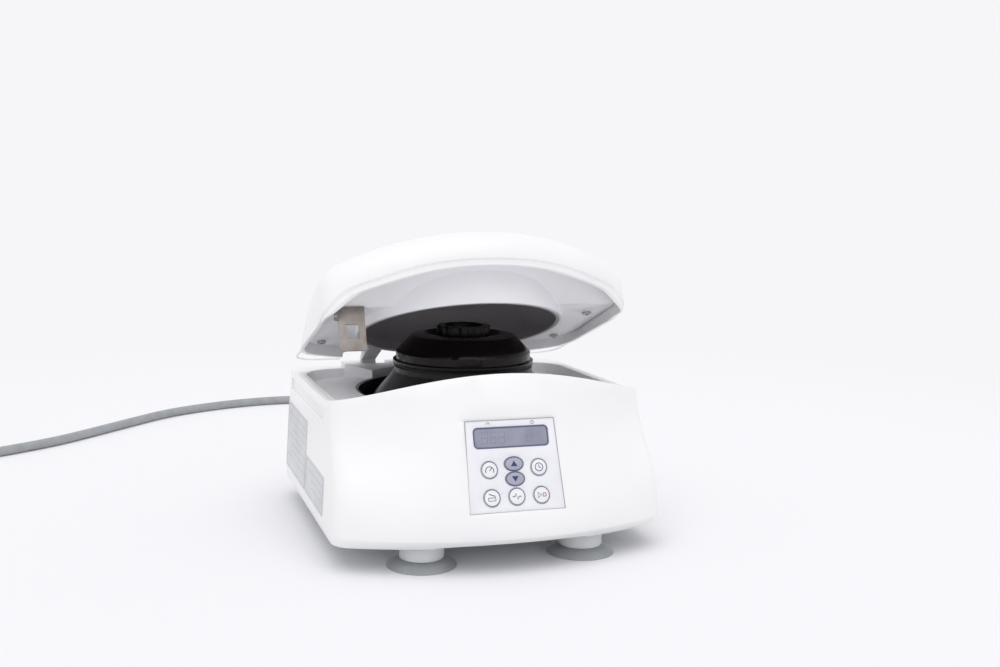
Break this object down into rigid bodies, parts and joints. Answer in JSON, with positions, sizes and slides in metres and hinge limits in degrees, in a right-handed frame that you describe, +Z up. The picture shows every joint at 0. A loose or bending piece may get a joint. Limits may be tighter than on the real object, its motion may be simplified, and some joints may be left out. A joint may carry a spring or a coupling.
{
  "type": "microcentrifuge",
  "caption": "Compact bench microcentrifuge with a domed hinged lid standing half open over a covered fixed-angle rotor, sloped keypad, suction-cup feet and mains cord.",
  "frame": {"origin": "on the bench under the middle of the housing's plan", "axes": "+X to the right as seen from the keypad, +Y to the back, +Z up"},
  "size_m": [0.5255, 0.5666, 0.1976],
  "materials": {
    "white_abs": "satin",
    "liner_plastic": "satin",
    "dark_plastic": "matt",
    "deck_plastic": "satin",
    "base_plastic": "matt",
    "foot_plastic": "satin",
    "cup_rubber": "smooth, slightly translucent",
    "seal_rubber": "matt",
    "rotor_alloy": "black anodised, glossy",
    "rotor_lid_plastic": "glossy",
    "knob_plastic": "glossy",
    "motor_steel": "satin",
    "bearing_steel": "ground",
    "screw_steel": "plated",
    "striker_steel": "plated",
    "hinge_steel": "satin grey paint",
    "overlay_plastic": "satin printed film",
    "lcd_glass": "smooth",
    "lcd_body": "matt",
    "key_white": "satin",
    "key_grey": "satin",
    "board_green": "satin",
    "black_plastic": "satin",
    "cord_rubber": "smooth",
    "plug_rubber": "smooth"
  },
  "bodies": {
    "base": {"upper_housing": "white_abs", "chamber_bowl": "dark_plastic", "inner_deck": "deck_plastic", "base_plate": "base_plastic", "latch_guide": "base_plastic", "board_posts": "base_plastic", "foot_front_left": "foot_plastic", "foot_front_right": "foot_plastic", "foot_rear_left": "foot_plastic", "foot_rear_right": "foot_plastic", "suction_cup_front_left": "cup_rubber", "suction_cup_front_right": "cup_rubber", "suction_cup_rear_left": "cup_rubber", "suction_cup_rear_right": "cup_rubber", "bowl_seal": "seal_rubber", "motor_mounts": "seal_rubber", "motor": "motor_steel", "latch_solenoid": "motor_steel", "motor_bearings": "bearing_steel", "hinge_pin_left": "bearing_steel", "hinge_pin_right": "bearing_steel", "hinge_spring_left": "bearing_steel", "hinge_spring_right": "bearing_steel", "housing_screws": "screw_steel", "panel_overlay": "overlay_plastic", "lcd_window": "lcd_glass", "lcd_module": "lcd_body", "control_board": "board_green", "power_board": "board_green", "mains_inlet": "black_plastic", "switch_frame": "black_plastic", "mains_cord": "cord_rubber", "cord_coil": "cord_rubber", "mains_connector": "plug_rubber", "mains_plug": "plug_rubber"},
    "lid": {"lid_shell": "white_abs", "lid_liner": "liner_plastic", "lid_dome": "dark_plastic", "lid_screws": "screw_steel", "striker": "striker_steel", "hinge_arm_left": "hinge_steel", "hinge_arm_right": "hinge_steel"},
    "rotor": {"motor_shaft": "bearing_steel", "rotor": "rotor_alloy", "rotor_nut": "bearing_steel", "rotor_lid_seal": "seal_rubber"},
    "rotor_cover": {"rotor_lid": "rotor_lid_plastic"},
    "cover_knob": {"rotor_lid_knob": "knob_plastic"},
    "bolt": {"latch_bolt": "bearing_steel"},
    "rocker": {"power_rocker": "black_plastic"},
    "speed_key": {"speed_key": "key_white"},
    "time_key": {"time_key": "key_white"},
    "door_key": {"door_key": "key_white"},
    "pulse_key": {"pulse_key": "key_white"},
    "start_key": {"start_key": "key_white"},
    "up_key": {"up_key": "key_grey"},
    "down_key": {"down_key": "key_grey"}
  },
  "joints": [
    {"name": "lid_hinge", "type": "hinge", "parent": "base", "child": "lid", "pos_m": [0, 0.1015, 0.088], "axis": [-1, 0, 0], "range_deg": [-21, 55]},
    {"name": "rotor_spin", "type": "hinge", "parent": "base", "child": "rotor", "pos_m": [0, 0.0115, 0.07], "axis": [0, 0, 1], "continuous": true},
    {"name": "rotor_cover_lift", "type": "slide", "parent": "rotor", "child": "rotor_cover", "axis": [0, 0, 1], "range_m": [0, 0.02]},
    {"name": "cover_knob_turn", "type": "hinge", "parent": "rotor_cover", "child": "cover_knob", "pos_m": [0, 0.0115, 0.12], "axis": [0, 0, 1], "continuous": true},
    {"name": "bolt_slide", "type": "slide", "parent": "base", "child": "bolt", "axis": [0, -1, 0], "range_m": [0, 0.009], "stiffness_N_per_m": 60},
    {"name": "power_rocker_turn", "type": "hinge", "parent": "base", "child": "rocker", "pos_m": [-0.008, 0.1048, 0.038], "axis": [-1, 0, 0], "range_deg": [0, 8]},
    {"name": "speed_key_press", "type": "slide", "parent": "base", "child": "speed_key", "axis": [0, 0.9373, -0.3486], "range_m": [0, 0.0004], "stiffness_N_per_m": 1200},
    {"name": "time_key_press", "type": "slide", "parent": "base", "child": "time_key", "axis": [0, 0.9373, -0.3486], "range_m": [0, 0.0004], "stiffness_N_per_m": 1200},
    {"name": "door_key_press", "type": "slide", "parent": "base", "child": "door_key", "axis": [0, 0.9373, -0.3486], "range_m": [0, 0.0004], "stiffness_N_per_m": 1200},
    {"name": "pulse_key_press", "type": "slide", "parent": "base", "child": "pulse_key", "axis": [0, 0.9373, -0.3486], "range_m": [0, 0.0004], "stiffness_N_per_m": 1200},
    {"name": "start_key_press", "type": "slide", "parent": "base", "child": "start_key", "axis": [0, 0.9373, -0.3486], "range_m": [0, 0.0004], "stiffness_N_per_m": 1200},
    {"name": "up_key_press", "type": "slide", "parent": "base", "child": "up_key", "axis": [0, 0.9373, -0.3486], "range_m": [0, 0.0004], "stiffness_N_per_m": 1200},
    {"name": "down_key_press", "type": "slide", "parent": "base", "child": "down_key", "axis": [0, 0.9373, -0.3486], "range_m": [0, 0.0004], "stiffness_N_per_m": 1200}
  ]
}
